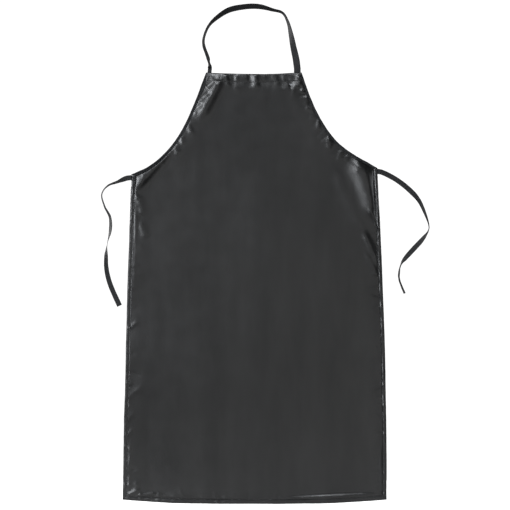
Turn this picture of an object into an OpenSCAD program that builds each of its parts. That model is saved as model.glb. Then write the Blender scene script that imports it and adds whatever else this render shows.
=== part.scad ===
// Lead apron with a bib, a neck strap and two waist ties, all sewn from coated sheet.
// +Z runs up the apron, +X is to the viewer's right, and the front faces -Y.
// The back lies in the plane y = 0. The origin is on the centre line at the waist.

/* [Panel] */
// Height from the waist line down to the lowest point of the hem
skirt_h = 773; // [500:1:900]
// Height from the waist line up to the corners of the bib
bib_h = 230; // [180:1:300]
// Half-widths of the bib's top edge, left then right
bib_half = [114, 108]; // [90:1:140]
// Half-widths across the waist corners, left then right
waist_half = [288, 284]; // [230:1:340]
// Half-widths across the bottom corners, left then right
hem_half = [308, 306]; // [240:1:360]
// Heights of the waist corners above the waist line, left then right
waist_rise = [-7, 8]; // [-15:1:15]
// How far the side edges bow outwards, left then right
side_bow = [2, 6]; // [0:0.5:10]
// How far the bib's top edge dips in the middle
bib_dip = 3.5; // [0:0.5:10]
// How far the hem hangs below the bottom corners
hem_bow = 10; // [0:1:20]

/* [Armholes] */
// Angle from the vertical at which an armhole leaves the bib, left then right
arm_top_angle = [23, 18]; // [5:1:35]
// Length of the curve's upper handle, left then right
arm_top_pull = [74, 185]; // [40:1:200]
// Angle above the horizontal at which it reaches the waist corner, left then right
arm_side_angle = [19, 32]; // [5:1:45]
// Length of the curve's lower handle, left then right
arm_side_pull = [124, 83]; // [40:1:160]

/* [Layers] */
// Thickness of the front cover sheet
front_t = 0.6; // [0.4:0.1:1]
// Thickness of the back cover sheet
back_t = 0.5; // [0.4:0.1:1]
// Thickness of one shielding sheet
core_t = 1; // [0.8:0.1:2]
// Distance from the apron's edge to the shielding sheets
core_margin = 25; // [24:1:40]

/* [Edge bands] */
// Thickness of the folded edge band
band_t = 0.5; // [0.4:0.1:0.8]
// Width of the band along the bib's top edge
bib_band = 20; // [12:1:20]
// Width of the band down each side
side_band = 10; // [8:0.5:14]
// Width of the band along the bottom
hem_band = 10.5; // [8:0.5:14]
// Widths of the armhole bindings, left then right
arm_band = [7, 6]; // [6:0.5:14]

/* [Straps] */
// Width of the neck strap's tape
neck_w = 16; // [12:1:20]
// Thickness of the neck strap's tape
neck_t = 1.2; // [0.8:0.1:1.2]
// Height of the neck loop above the bib's corners
loop_h = 152; // [120:1:200]
// Width of the waist ties' tape
tie_w = 12; // [8:1:14]
// Thickness of the waist ties' tape
tie_t = 1; // [0.8:0.1:1.2]
// Length the straps reach in between the covers
tail_in = 17; // [10:1:18]

/* [Sewing] */
// Width of a row of sewing thread
thread_w = 0.6; // [0.4:0.1:1]
// Height of a row of sewing thread above the sheet
thread_h = 0.3; // [0.2:0.1:0.5]
// Distance from a band's inner edge to its row of thread
thread_in = 2; // [1.5:0.5:3]

/* [Hidden] */

ply_gap = 0.05;        // air between two layers
sew_gap = 0.02;        // air under a row of thread
mitre_gap = 0.1;       // how far a band stops short of the mitre line
cover_edge = 0.1;      // room between a cover's edge and the fold of the band
trim_gap = 0.15;       // room between the back cover and a band's rear leg
rim_lap = 3;           // how far the back cover's raised rim reaches past a band
pocket_over = 1;       // how far a cutting shape runs past what it cuts
curve_steps = 22;      // points along an armhole
arm_straight = 0.1;    // share of an armhole that is straight at each end, where bands are mitred
edge_steps = 12;       // points along each other edge
hem_power = 3;         // the hem is flat in the middle and rises near its corners

// depths below the back plane, from the back to the front
core_rear_d = back_t + ply_gap;
core_front_d = core_rear_d + core_t + ply_gap;
cover_d = core_front_d + core_t + ply_gap;
leg_d = cover_d + front_t + ply_gap;
front_d = leg_d + band_t;
rim_d = band_t + ply_gap;
mid_d = (rim_d + back_t + cover_d) / 2;
thread_d = front_d + sew_gap;

// strap roots and hinge lines
hinge_room = 5;        // from the apron's edge to a strap's hinge line
hinge_gap_in = 1;      // sewn end stops this far short of the hinge line
hinge_gap_out = 4;     // strap starts this far past the hinge line
slot_room = 0.2;       // room round a sewn end where it passes the band
neck_root = [-100, 98];
tie_drop = 7.4;        // from a waist corner down to the middle of its tie
left = 0;
right = 1;
side_sign = [-1, 1];

sheet_colour = "#26282b";
band_colour = "#1f2123";
lining_colour = "#33363a";
core_colour = "#6f7276";
tape_colour = "#2f3133";
thread_colour = "#3c3e41";

// ---------- outline of the panel, anticlockwise as seen from the front ----------

waist_x = [for (s = [left, right]) side_sign[s] * waist_half[s]];
hem_x = [for (s = [left, right]) side_sign[s] * hem_half[s]];
bib_x = [for (s = [left, right]) side_sign[s] * bib_half[s]];
hem_z = -skirt_h + hem_bow;

function mix(a, b, u) = a * (1 - u) + b * u;
function bezier(p0, p1, p2, p3, u) =
    p0 * pow(1 - u, 3) + 3 * p1 * u * pow(1 - u, 2) + 3 * p2 * pow(u, 2) * (1 - u) + p3 * pow(u, 3);
function turned(list) = [for (i = [len(list) - 1:-1:0]) list[i]];

function hem_point(u) =
    [mix(hem_x[left], hem_x[right], u), hem_z - hem_bow * (1 - pow(abs(2 * u - 1), hem_power))];
function side_point(s, u) =
    [mix(hem_x[s], waist_x[s], u) + side_sign[s] * side_bow[s] * sin(180 * u),
     mix(hem_z, waist_rise[s], u)];
function arm_point(s, u) =
    let (corner = [waist_x[s], waist_rise[s]], top = [bib_x[s], bib_h],
         low = corner + arm_side_pull[s] * [-side_sign[s] * cos(arm_side_angle[s]), sin(arm_side_angle[s])],
         high = top + arm_top_pull[s] * [side_sign[s] * sin(arm_top_angle[s]), -cos(arm_top_angle[s])])
    bezier(corner, low, high, top, u);
function arm_share(i) = i == 0 ? 0 : mix(arm_straight, 1 - arm_straight, (i - 1) / (curve_steps - 2));
function bib_point(u) =
    [mix(bib_x[right], bib_x[left], u), bib_h - bib_dip * sin(180 * u)];

// each edge of the panel, without its last corner, which starts the next edge
EDGES = [
    [for (i = [0:edge_steps - 1]) hem_point(i / edge_steps)],
    [for (i = [0:edge_steps - 1]) side_point(right, i / edge_steps)],
    [for (i = [0:curve_steps - 1]) arm_point(right, arm_share(i))],
    [for (i = [0:edge_steps - 1]) bib_point(i / edge_steps)],
    [for (i = [0:curve_steps - 1]) arm_point(left, 1 - arm_share(i))],
    [for (i = [0:edge_steps - 1]) side_point(left, 1 - i / edge_steps)]
];
HEM = 0; SIDE_R = 1; ARM_R = 2; BIB = 3; ARM_L = 4; SIDE_L = 5;
BANDS = [hem_band, side_band, arm_band[right], bib_band, arm_band[left], side_band];

outline = [for (edge = EDGES) each edge];
band_of = [for (e = [0:len(EDGES) - 1]) for (p = EDGES[e]) e];
corners = len(outline);
function first_of(e) = e == 0 ? 0 : first_of(e - 1) + len(EDGES[e - 1]);

// inward normal of the outline's segment from point i to the next one
function inward(i) =
    let (a = outline[(i + corners) % corners], b = outline[(i + 1) % corners], d = (b - a) / norm(b - a))
    [-d[1], d[0]];

// the outline moved inwards, by its own distance on each segment
function inset(distance) = [
    for (i = [0:corners - 1])
        let (before = (i + corners - 1) % corners, m = inward(before), n = inward(i),
             dm = distance[before], dn = distance[i], det = m[0] * n[1] - m[1] * n[0])
        outline[i] + (dm == dn
            ? dm * (m + n) / (1 + m * n)
            : [dm * n[1] - dn * m[1], dn * m[0] - dm * n[0]] / det)
];
function inset_by(d) = inset([for (e = band_of) d]);
function inset_bands(more) = inset([for (e = band_of) BANDS[e] + more]);
function inset_share(f) = inset([for (e = band_of) BANDS[e] * f]);

// the strip of edge e between two distances from the outline, mitred where it meets its neighbours
function nudge(points, g) =
    let (n = len(points), a = points[1] - points[0], b = points[n - 2] - points[n - 1])
    [for (i = [0:n - 1]) points[i] + (i == 0 ? g * a / norm(a) : i == n - 1 ? g * b / norm(b) : [0, 0])];
function edge_line(e, d, g) =
    let (loop = inset_share(d / BANDS[e]), start = first_of(e))
    nudge([for (i = [0:len(EDGES[e])]) loop[(start + i) % corners]], g);
function strip(e, d0, d1, g) = concat(edge_line(e, d0, g), turned(edge_line(e, d1, g)));

// a flat sheet whose rear face is d0 and front face d1 below the back plane
module sheet(d0, d1) {
    translate([0, -d0, 0]) rotate([90, 0, 0]) linear_extrude(d1 - d0) children();
}

// ---------- covers and core ----------

module front_cover() {
    color(sheet_colour) sheet(cover_d, cover_d + front_t) polygon(inset_by(band_t + cover_edge));
}

// The back cover lies flush with the bands' rear legs and steps up to pass under them.
module back_cover() {
    color(lining_colour) difference() {
        sheet(0, rim_d + back_t) polygon(inset_by(band_t + cover_edge));
        sheet(-pocket_over, rim_d) difference() {
            polygon(inset_by(-pocket_over));
            polygon(inset_bands(trim_gap));
        }
        sheet(back_t, rim_d + back_t + pocket_over) polygon(inset_bands(rim_lap));
    }
}

module core_sheet_front() {
    color(core_colour) sheet(core_front_d, core_front_d + core_t) polygon(inset_by(core_margin));
}

module core_sheet_rear() {
    color(core_colour) sheet(core_rear_d, core_rear_d + core_t) polygon(inset_by(core_margin));
}

// ---------- edge bands: a strip folded round the edge, with a front and a rear leg ----------

module band(e) {
    color(band_colour) difference() {
        sheet(0, front_d) polygon(strip(e, 0, BANDS[e], mitre_gap));
        sheet(band_t, leg_d) polygon(strip(e, band_t, BANDS[e] + pocket_over, -pocket_over));
    }
}

// the opening that a strap's sewn end passes through
module neck_slot(s) {
    translate([neck_root[s] - neck_w / 2 - slot_room, -mid_d - neck_t / 2 - slot_room, bib_h - tail_in])
        cube([neck_w + 2 * slot_room, neck_t + 2 * slot_room, tail_in + pocket_over]);
}

module tie_slot(s) {
    x = waist_x[s] - side_sign[s] * tail_in / 2;
    translate([x, -mid_d, waist_rise[s] - tie_drop])
        cube([tail_in + 2 * hinge_room, tie_t + 2 * slot_room, tie_w + 2 * slot_room], center = true);
}

module bib_hem() {
    difference() {
        band(BIB);
        neck_slot(left);
        neck_slot(right);
    }
}

module bottom_hem() { band(HEM); }
module side_hem_left() { difference() { band(SIDE_L); tie_slot(left); } }
module side_hem_right() { difference() { band(SIDE_R); tie_slot(right); } }
module armhole_binding_left() { band(ARM_L); }
module armhole_binding_right() { band(ARM_R); }

// ---------- sewing on the bands ----------

module thread_row(e) {
    from = BANDS[e] - thread_in;
    color(thread_colour) sheet(thread_d, thread_d + thread_h)
        polygon(strip(e, from, from + thread_w, pocket_over));
}

module bib_hem_thread() { thread_row(BIB); }
module bottom_hem_thread() { thread_row(HEM); }
module side_hem_thread_left() { thread_row(SIDE_L); }
module side_hem_thread_right() { thread_row(SIDE_R); }
module armhole_thread_left() { thread_row(ARM_L); }
module armhole_thread_right() { thread_row(ARM_R); }

// a sewn box with a cross in it, centred on p
module box_stitch(p, w, h) {
    color(thread_colour) sheet(thread_d, thread_d + thread_h) translate(p) {
        difference() {
            square([w, h], center = true);
            square([w - 2 * thread_w, h - 2 * thread_w], center = true);
        }
        intersection() {
            square([w, h], center = true);
            for (way = [-1, 1]) rotate(way * atan2(h, w)) square([w + h, thread_w], center = true);
        }
    }
}

neck_box = [10, 11];
tie_box = [5, 9];
neck_box_drop = 9.5;   // from the bib's corners down to the middle of the box
tie_box_in = 4.9;      // from the waist corner in to the middle of the box

module neck_box_stitch(s) { box_stitch([neck_root[s], bib_h - neck_box_drop], neck_box[0], neck_box[1]); }
module waist_box_stitch(s) {
    x = side_point(s, 1 - tie_drop / skirt_h)[0] - side_sign[s] * tie_box_in;
    box_stitch([x, waist_rise[s] - tie_drop - 1], tie_box[0], tie_box[1]);
}
module neck_box_stitch_left() { neck_box_stitch(left); }
module neck_box_stitch_right() { neck_box_stitch(right); }
module waist_box_stitch_left() { waist_box_stitch(left); }
module waist_box_stitch_right() { waist_box_stitch(right); }

// ---------- sewn ends of the straps, between the covers ----------

module neck_strap_end(s) {
    color(tape_colour)
        translate([neck_root[s] - neck_w / 2, -mid_d - neck_t / 2, bib_h - tail_in])
            cube([neck_w, neck_t, tail_in + hinge_room - hinge_gap_in]);
}

module waist_tie_end(s) {
    length = tail_in + hinge_room - hinge_gap_in;
    x = waist_x[s] + side_sign[s] * (length / 2 - tail_in);
    color(tape_colour)
        translate([x, -mid_d, waist_rise[s] - tie_drop]) cube([length, tie_t, tie_w], center = true);
}
module neck_strap_end_left() { neck_strap_end(left); }
module neck_strap_end_right() { neck_strap_end(right); }
module waist_tie_end_left() { waist_tie_end(left); }
module waist_tie_end_right() { waist_tie_end(right); }

// ---------- free parts of the straps: a flat tape along a curve, turned about its own line ----------

// Each route point is [x, z, roll]: roll 0 lies flat on the back plane and 90 stands on its edge.
// A tape that stands up rests its lower edge near the back plane.
route_steps = 6;

function spline(p, i, u) =
    let (n = len(p), a = p[max(i - 1, 0)], b = p[i], c = p[i + 1], d = p[min(i + 2, n - 1)])
    0.5 * (2 * b + (c - a) * u + (2 * a - 5 * b + 4 * c - d) * pow(u, 2)
        + (3 * b - a - 3 * c + d) * pow(u, 3));
function route(p) = [
    for (i = [0:len(p) - 2]) for (k = [0:route_steps - 1]) spline(p, i, k / route_steps),
    p[len(p) - 1]
];

// Corners of the tape's sections. The section's middle is moved by side across the tape and by
// up off its face.
function sections(r, w, t, tape_w, tape_t, side, up) = [
    for (i = [0:len(r) - 1])
        let (a = r[max(i - 1, 0)], b = r[min(i + 1, len(r) - 1)], run = [b[0] - a[0], b[1] - a[1]],
             across = [-run[1], run[0]] / norm(run), roll = r[i][2],
             depth = mid_d - tape_t / 2 + tape_w / 2 * abs(sin(roll)) + tape_t / 2 * abs(cos(roll)),
             middle = [r[i][0], -depth, r[i][1]],
             wide = [across[0] * cos(roll), -sin(roll), across[1] * cos(roll)],
             face = [-across[0] * sin(roll), -cos(roll), -across[1] * sin(roll)])
        for (c = [[-1, -1], [1, -1], [1, 1], [-1, 1]])
            middle + wide * (side + c[0] * w / 2) + face * (up + c[1] * t / 2)
];

module swept(points) {
    n = len(points) / 4;
    walls = [for (i = [0:n - 2]) for (k = [0:3])
        let (a = 4 * i + k, b = 4 * i + (k + 1) % 4) each [[a, b, b + 4], [a, b + 4, a + 4]]];
    last = 4 * (n - 1);
    ends = [[0, 2, 1], [0, 3, 2], [last, last + 1, last + 2], [last, last + 2, last + 3]];
    polyhedron(points, concat(walls, ends), convexity = 10);
}

module tape(r, w, t) { color(tape_colour) swept(sections(r, w, t, w, t, 0, 0)); }

edge_row = 2;          // from a tape's edge to its row of thread
thread_sunk = 0.15;    // how deep a row of thread sinks into the tape it is sewn through
module tape_thread(r, w, t) {
    up = t / 2 - thread_sunk + thread_h / 2;
    color(thread_colour) for (way = [-1, 1])
        swept(sections(r, thread_w, thread_h, w, t, way * (w / 2 - edge_row), up));
}

neck_hinge_z = bib_h + hinge_room;
tie_hinge_x = [for (s = [left, right]) waist_x[s] + side_sign[s] * hinge_room];

// the neck loop leaves the left corner, passes over the top and comes down flat on the right
loop_top = bib_h + loop_h;
neck_route = route([
    [neck_root[left], neck_hinge_z + hinge_gap_out, 0],
    [neck_root[left] - 2, neck_hinge_z + 12, 22],
    [neck_root[left] - 7, neck_hinge_z + 26, 58],
    [neck_root[left] - 18, loop_top - 0.62 * loop_h, 64],
    [neck_root[left] - 19, loop_top - 0.48 * loop_h, 74],
    [neck_root[left] - 8, loop_top - 0.3 * loop_h, 74],
    [neck_root[left] + 11, loop_top - 0.17 * loop_h, 62],
    [neck_root[left] + 40, loop_top - 0.05 * loop_h, 48],
    [neck_root[left] + 78, loop_top, 50],
    [neck_root[right] - 88, loop_top, 54],
    [neck_root[right] - 58, loop_top - 0.05 * loop_h, 72],
    [neck_root[right] - 34, loop_top - 0.1 * loop_h, 78],
    [neck_root[right] - 22, loop_top - 0.24 * loop_h, 70],
    [neck_root[right] - 15, loop_top - 0.42 * loop_h, 52],
    [neck_root[right] - 9, loop_top - 0.62 * loop_h, 28],
    [neck_root[right] - 3, neck_hinge_z + 26, 12],
    [neck_root[right], neck_hinge_z + hinge_gap_out, 0]
]);

// each tie leaves its corner flat and drops in a loose wave
tie_z = [for (s = [left, right]) waist_rise[s] - tie_drop];
tie_left_route = route([
    [tie_hinge_x[left] - hinge_gap_out, tie_z[left] - 1, 0],
    [tie_hinge_x[left] - 10, tie_z[left] - 3, 10],
    [tie_hinge_x[left] - 26, tie_z[left] - 10, 52],
    [tie_hinge_x[left] - 50, tie_z[left] - 20, 68],
    [tie_hinge_x[left] - 63, tie_z[left] - 40, 72],
    [tie_hinge_x[left] - 56, tie_z[left] - 68, 68],
    [tie_hinge_x[left] - 44, tie_z[left] - 92, 56],
    [tie_hinge_x[left] - 43, tie_z[left] - 122, 50],
    [tie_hinge_x[left] - 50, tie_z[left] - 154, 84],
    [tie_hinge_x[left] - 53, tie_z[left] - 182, 40],
    [tie_hinge_x[left] - 52, tie_z[left] - 214, 24],
    [tie_hinge_x[left] - 43, tie_z[left] - 250, 12],
    [tie_hinge_x[left] - 22, tie_z[left] - 298, 0]
]);
tie_right_route = route([
    [tie_hinge_x[right] + hinge_gap_out, tie_z[right] - 2, 0],
    [tie_hinge_x[right] + 20, tie_z[right] - 9, 0],
    [tie_hinge_x[right] + 44, tie_z[right] - 23, 0],
    [tie_hinge_x[right] + 70, tie_z[right] - 44, 8],
    [tie_hinge_x[right] + 91, tie_z[right] - 68, 46],
    [tie_hinge_x[right] + 106, tie_z[right] - 100, 68],
    [tie_hinge_x[right] + 114, tie_z[right] - 126, 88],
    [tie_hinge_x[right] + 112, tie_z[right] - 140, 84],
    [tie_hinge_x[right] + 98, tie_z[right] - 160, 40],
    [tie_hinge_x[right] + 80, tie_z[right] - 180, 16],
    [tie_hinge_x[right] + 60, tie_z[right] - 202, 40],
    [tie_hinge_x[right] + 49, tie_z[right] - 218, 84],
    [tie_hinge_x[right] + 45, tie_z[right] - 236, 76],
    [tie_hinge_x[right] + 46, tie_z[right] - 254, 78],
    [tie_hinge_x[right] + 58, tie_z[right] - 284, 72]
]);

module neck_strap() { tape(neck_route, neck_w, neck_t); }
module neck_strap_thread() { tape_thread(neck_route, neck_w, neck_t); }
module waist_tie_left() { tape(tie_left_route, tie_w, tie_t); }
module waist_tie_left_thread() { tape_thread(tie_left_route, tie_w, tie_t); }
module waist_tie_right() { tape(tie_right_route, tie_w, tie_t); }
module waist_tie_right_thread() { tape_thread(tie_right_route, tie_w, tie_t); }

front_cover();
back_cover();
core_sheet_front();
core_sheet_rear();
bib_hem();
bottom_hem();
side_hem_left();
side_hem_right();
armhole_binding_left();
armhole_binding_right();
bib_hem_thread();
bottom_hem_thread();
side_hem_thread_left();
side_hem_thread_right();
armhole_thread_left();
armhole_thread_right();
neck_strap_end_left();
neck_strap_end_right();
waist_tie_end_left();
waist_tie_end_right();
neck_box_stitch_left();
neck_box_stitch_right();
waist_box_stitch_left();
waist_box_stitch_right();
neck_strap();
neck_strap_thread();
waist_tie_left();
waist_tie_left_thread();
waist_tie_right();
waist_tie_right_thread();
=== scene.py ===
import math

import bpy
import numpy as np
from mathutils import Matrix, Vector, geometry, kdtree


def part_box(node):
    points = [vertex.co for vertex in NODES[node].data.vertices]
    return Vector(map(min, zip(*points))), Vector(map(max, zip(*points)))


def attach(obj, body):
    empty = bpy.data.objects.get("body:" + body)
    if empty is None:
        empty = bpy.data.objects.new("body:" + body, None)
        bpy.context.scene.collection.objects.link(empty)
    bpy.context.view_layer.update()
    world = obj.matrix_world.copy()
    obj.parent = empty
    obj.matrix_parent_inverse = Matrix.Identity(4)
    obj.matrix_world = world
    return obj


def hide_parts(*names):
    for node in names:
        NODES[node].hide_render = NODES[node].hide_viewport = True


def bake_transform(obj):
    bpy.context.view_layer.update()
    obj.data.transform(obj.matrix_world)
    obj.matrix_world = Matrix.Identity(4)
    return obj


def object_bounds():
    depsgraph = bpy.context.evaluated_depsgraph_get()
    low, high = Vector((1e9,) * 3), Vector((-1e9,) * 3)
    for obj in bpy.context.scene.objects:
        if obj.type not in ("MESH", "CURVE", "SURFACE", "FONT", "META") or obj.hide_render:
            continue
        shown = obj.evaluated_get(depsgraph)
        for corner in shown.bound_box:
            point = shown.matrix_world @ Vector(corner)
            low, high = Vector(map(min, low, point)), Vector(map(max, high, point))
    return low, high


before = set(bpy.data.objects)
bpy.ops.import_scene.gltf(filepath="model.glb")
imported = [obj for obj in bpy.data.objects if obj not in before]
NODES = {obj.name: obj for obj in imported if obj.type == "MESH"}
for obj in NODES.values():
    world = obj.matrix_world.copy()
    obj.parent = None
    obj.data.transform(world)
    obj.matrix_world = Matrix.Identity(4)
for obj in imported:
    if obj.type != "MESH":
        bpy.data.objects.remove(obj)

CAD_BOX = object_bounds()
MM = 0.001

# ---------- sizes read from the frame

COVER_LOW, COVER_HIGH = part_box("front_cover")
BAND_LOW, BAND_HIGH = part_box("bottom_hem")
FRONT_Y = BAND_LOW.y  # front face of the edge bands
BACK_Y = BAND_HIGH.y  # back face of the apron
MID_Y = (FRONT_Y + BACK_Y) / 2
RADIUS = (BACK_Y - FRONT_Y) / 2  # of a folded band's round edge
COVER_Y = COVER_LOW.y  # front face of the front cover
COVER_T = COVER_HIGH.y - COVER_LOW.y
SHEET_T = 0.5 * MM  # a folded band's own thickness
COVER_INSET = 0.6 * MM  # from the panel's edge to the cover sheet's edge

# edge name: its band's node, its thread's node
EDGES = {
    "side_left": ("side_hem_left", "side_hem_thread_left"),
    "bottom": ("bottom_hem", "bottom_hem_thread"),
    "side_right": ("side_hem_right", "side_hem_thread_right"),
    "arm_right": ("armhole_binding_right", "armhole_thread_right"),
    "bib": ("bib_hem", "bib_hem_thread"),
    "arm_left": ("armhole_binding_left", "armhole_thread_left"),
}
NAMES = list(EDGES)


def node_points(node):
    return np.array([v.co for v in NODES[node].data.vertices])


def flat_outline(node):
    """The outline of a flat sheet's front face as an anticlockwise loop of (x, z), seen from the front."""
    co = node_points(node)
    face = co[co[:, 1] < co[:, 1].min() + 0.01 * MM][:, [0, 2]]
    face = np.unique(np.round(face, 7), axis=0)
    return face[np.argsort(np.arctan2(face[:, 1], face[:, 0]))]


def grown(loop, distance):
    """A closed anticlockwise loop moved outwards."""
    ahead = np.roll(loop, -1, 0) - loop
    normal = np.stack([ahead[:, 1], -ahead[:, 0]], 1) / np.linalg.norm(ahead, axis=1)[:, None]
    before = np.roll(normal, 1, 0)
    share = 1 + (normal * before).sum(1, keepdims=True)
    return loop + distance * (normal + before) / share


def corner_indexes(loop, least_turn=math.radians(25)):
    """Where an anticlockwise loop turns by more than a set angle."""
    ahead = np.roll(loop, -1, 0) - loop
    angle = np.arctan2(ahead[:, 1], ahead[:, 0])
    turn = (angle - np.roll(angle, 1) + math.pi) % (2 * math.pi) - math.pi
    return [i for i in range(len(loop)) if turn[i] > least_turn]


def smooth_line(points, spacing):
    """A Catmull-Rom curve through the points, resampled to an even spacing."""
    p = np.vstack([2 * points[0] - points[1], points, 2 * points[-1] - points[-2]])
    u = np.linspace(0, 1, 16, endpoint=False)[:, None]
    parts = []
    for a, b, c, d in zip(p[:-3], p[1:-2], p[2:-1], p[3:]):
        parts.append(0.5 * (2 * b + (c - a) * u + (2 * a - 5 * b + 4 * c - d) * u**2
                            + (3 * b - a - 3 * c + d) * u**3))
    line = np.vstack(parts + [points[-1:]])
    return resampled(line, spacing)


def run_along(line):
    """The length along a line up to each of its points."""
    return np.concatenate([[0], np.cumsum(np.linalg.norm(np.diff(line, axis=0), axis=1))])


def resampled(line, spacing):
    """A line with its points evenly spaced."""
    run = run_along(line)
    count = max(2, int(round(run[-1] / spacing)) + 1)
    at = np.linspace(0, run[-1], count)
    return columns_at(at, run, line)


def columns_at(at, run, values):
    """Each column of some values given at the lengths run, read at other lengths."""
    return np.stack([np.interp(at, run, values[:, k]) for k in range(values.shape[1])], 1)


def left_of(t):
    """Directions a quarter turn anticlockwise: inwards, for steps along the panel's outline."""
    return np.stack([-t[..., 1], t[..., 0]], -1)


def rise(x, start, width):
    """0 up to the start, then smoothly up to 1 over the width."""
    t = np.clip((x - start) / width, 0, 1)
    return t * t * (3 - 2 * t)


def fade(x, start, width):
    """1 up to the start, then smoothly down to 0 over the width."""
    return 1 - rise(x, start, width)


def waves(points, longest, shortest, seed, count=14):
    """Smooth noise of about unit size, from plane waves with fixed random directions and phases."""
    rng = np.random.default_rng(seed)
    length = np.exp(rng.uniform(math.log(shortest), math.log(longest), count))
    angle, phase = rng.uniform(0, 2 * math.pi, (2, count))
    k = 2 * math.pi / length[:, None] * np.stack([np.cos(angle), np.sin(angle)], 1)
    size = np.sqrt(length / longest)
    return (np.cos(points @ k.T + phase) * size).sum(1) / math.sqrt((size**2).sum() / 2) / 1.6


def strip_waves(s, across, longest, shortest, seed, count):
    """The same noise at lengths s along a strip, at one place across it."""
    return waves(np.stack([s, np.full(len(s), across)], 1), longest, shortest, seed, count)


def distance_to(points, line):
    """Distance from each point to a polyline."""
    a, b = line[:-1], line[1:]
    d = b - a
    best = np.full(len(points), np.inf)
    for p0, step in zip(a, d):
        t = np.clip(((points - p0) @ step) / (step @ step), 0, 1)
        best = np.minimum(best, ((points - p0 - t[:, None] * step) ** 2).sum(1))
    return np.sqrt(best)


# ---------- the panel's six edges

PANEL = grown(flat_outline("front_cover"), COVER_INSET)
CORNERS = corner_indexes(PANEL)


class Edge:
    """One edge of the panel: its line, its band's width and the mitres at its ends."""

    def __init__(self, name, first, last):
        self.name = name
        index = [i % len(PANEL) for i in range(first, last + 1)]
        self.line = smooth_line(PANEL[index], 2 * MM)
        self.band_node, self.thread_node = EDGES[name]
        near = node_points(self.band_node)[:, [0, 2]]
        self.width = float(distance_to(near, self.line).max())
        thread = node_points(self.thread_node)[:, [0, 2]]
        self.row = float(np.median(distance_to(thread, self.line)))
        self.run = run_along(self.line)
        self.length = self.run[-1]
        ahead = np.gradient(self.line, self.run, axis=0)
        self.along = ahead / np.linalg.norm(ahead, axis=1)[:, None]
        self.lean = [0.0, 0.0]

    def at(self, s):
        """Points on the edge at lengths s, with directions along it and inwards."""
        s = np.atleast_1d(s)
        t = columns_at(s, self.run, self.along)
        t /= np.linalg.norm(t, axis=1)[:, None]
        return columns_at(s, self.run, self.line), t, left_of(t)

    def inside(self, s, d):
        """Points at length s and distance d in from the edge."""
        p, _, n = self.at(s)
        return p + n * np.reshape(d, (-1, 1))

    def span(self, u, d):
        """Length along the edge at share u, for a line d inside that ends on the mitres."""
        start, end = self.lean[0] * d, self.length - self.lean[1] * d
        return start + u * (end - start)


def corner_step(e, after, depth, depth_after):
    """The step from the corner between two edges to where lines at these depths inside them meet."""
    inwards = np.array([left_of(e.along[-1]), left_of(after.along[0])])
    return np.linalg.solve(inwards, np.array([depth, depth_after]))


edges = []
for number, name in enumerate(NAMES):
    last = CORNERS[number + 1] if number + 1 < len(CORNERS) else len(PANEL)
    edges.append(Edge(name, CORNERS[number], last))
EDGE = {e.name: e for e in edges}
for number, e in enumerate(edges):
    after = edges[(number + 1) % len(edges)]
    inner = corner_step(e, after, e.width, after.width)
    e.lean[1] = float(-(inner @ e.along[-1]) / e.width)
    after.lean[0] = float((inner @ after.along[0]) / after.width)


def inset_loop(distance_of, spacing):
    """A closed loop inside the panel, at each edge's own distance from it."""
    parts = []
    for number, e in enumerate(edges):
        d = distance_of(e)
        before, after = edges[number - 1], edges[(number + 1) % len(edges)]
        count = max(3, int(e.length / spacing))
        line = e.inside(np.linspace(0, e.length, count), np.full(count, d))
        keep = np.ones(count, bool)
        for other in (before, after):
            keep &= distance_to(line, other.line) > distance_of(other) + 0.35 * spacing
        corner = e.line[-1] + corner_step(e, after, d, distance_of(after))
        parts += [line[keep], corner[None]]
    return np.vstack(parts)


def inside_loop(points, loop):
    """Which points lie inside a closed loop."""
    x, y = points[:, 0], points[:, 1]
    within = np.zeros(len(points), bool)
    for (x0, y0), (x1, y1) in zip(loop, np.roll(loop, -1, 0)):
        crosses = (y0 > y) != (y1 > y)
        if crosses.any():
            within ^= crosses & (x < (x1 - x0) * (y - y0) / (y1 - y0 + 1e-12) + x0)
    return within


def edge_depth(points):
    """Each point's distance to every edge."""
    return np.stack([distance_to(points, e.line[::3]) for e in edges], 1)


# ---------- sewing and fullness

BACK_SWELL = 0.9  # share of the simulated swell that the lining keeps


def for_edges(usual, **others):
    """One value for each edge of the panel."""
    return {**dict.fromkeys(NAMES, usual), **others}


PUFF = for_edges(0.35 * MM, side_left=0.18 * MM)  # how far a band swells between fold and sewing
HELD = for_edges(1.0, bib=0.15)  # how hard the sewing pulls the band in
LIP = for_edges(0.25 * MM, bib=-0.48 * MM)  # how far a band's free edge stands off the cover
RIBS = for_edges(0.05 * MM, bib=0.07 * MM)  # height of the fine ribs across a band
STITCH_PITCH = for_edges(4.2 * MM, arm_left=7.0 * MM, arm_right=5.0 * MM)
BAND_STEP, TAPE_STEP = 1.6 * MM, 1.8 * MM  # spacing of the sections along the bands and the straps
SPREAD = 0.6  # how much wider the left binding is at the bib's corner
THREAD_H = FRONT_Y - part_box("bib_hem_thread")[0].y
THREAD_W = 0.7 * MM
BOX_PITCH, TAPE_PITCH = 2.4 * MM, 3.4 * MM  # stitch lengths in the boxes and on the straps
TAIL_LOW, TAIL_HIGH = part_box("neck_strap_end_left")
SEWN_IN = TAIL_HIGH.z - TAIL_LOW.z  # how far a strap runs in behind the hem

# ---------- mesh helpers

def new_mesh(name, verts, faces, material, smooth=True):
    """A new object with this mesh, in the scene."""
    mesh = bpy.data.meshes.new(name)
    mesh.from_pydata([tuple(v) for v in np.asarray(verts, float)], [], [tuple(f) for f in faces])
    mesh.validate()
    mesh.polygons.foreach_set("use_smooth", [smooth] * len(mesh.polygons))
    mesh.materials.append(material)
    obj = bpy.data.objects.new(name, mesh)
    bpy.context.scene.collection.objects.link(obj)
    return obj


def coords(obj):
    co = np.empty(len(obj.data.vertices) * 3)
    obj.data.vertices.foreach_get("co", co)
    return co.reshape(-1, 3)


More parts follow.
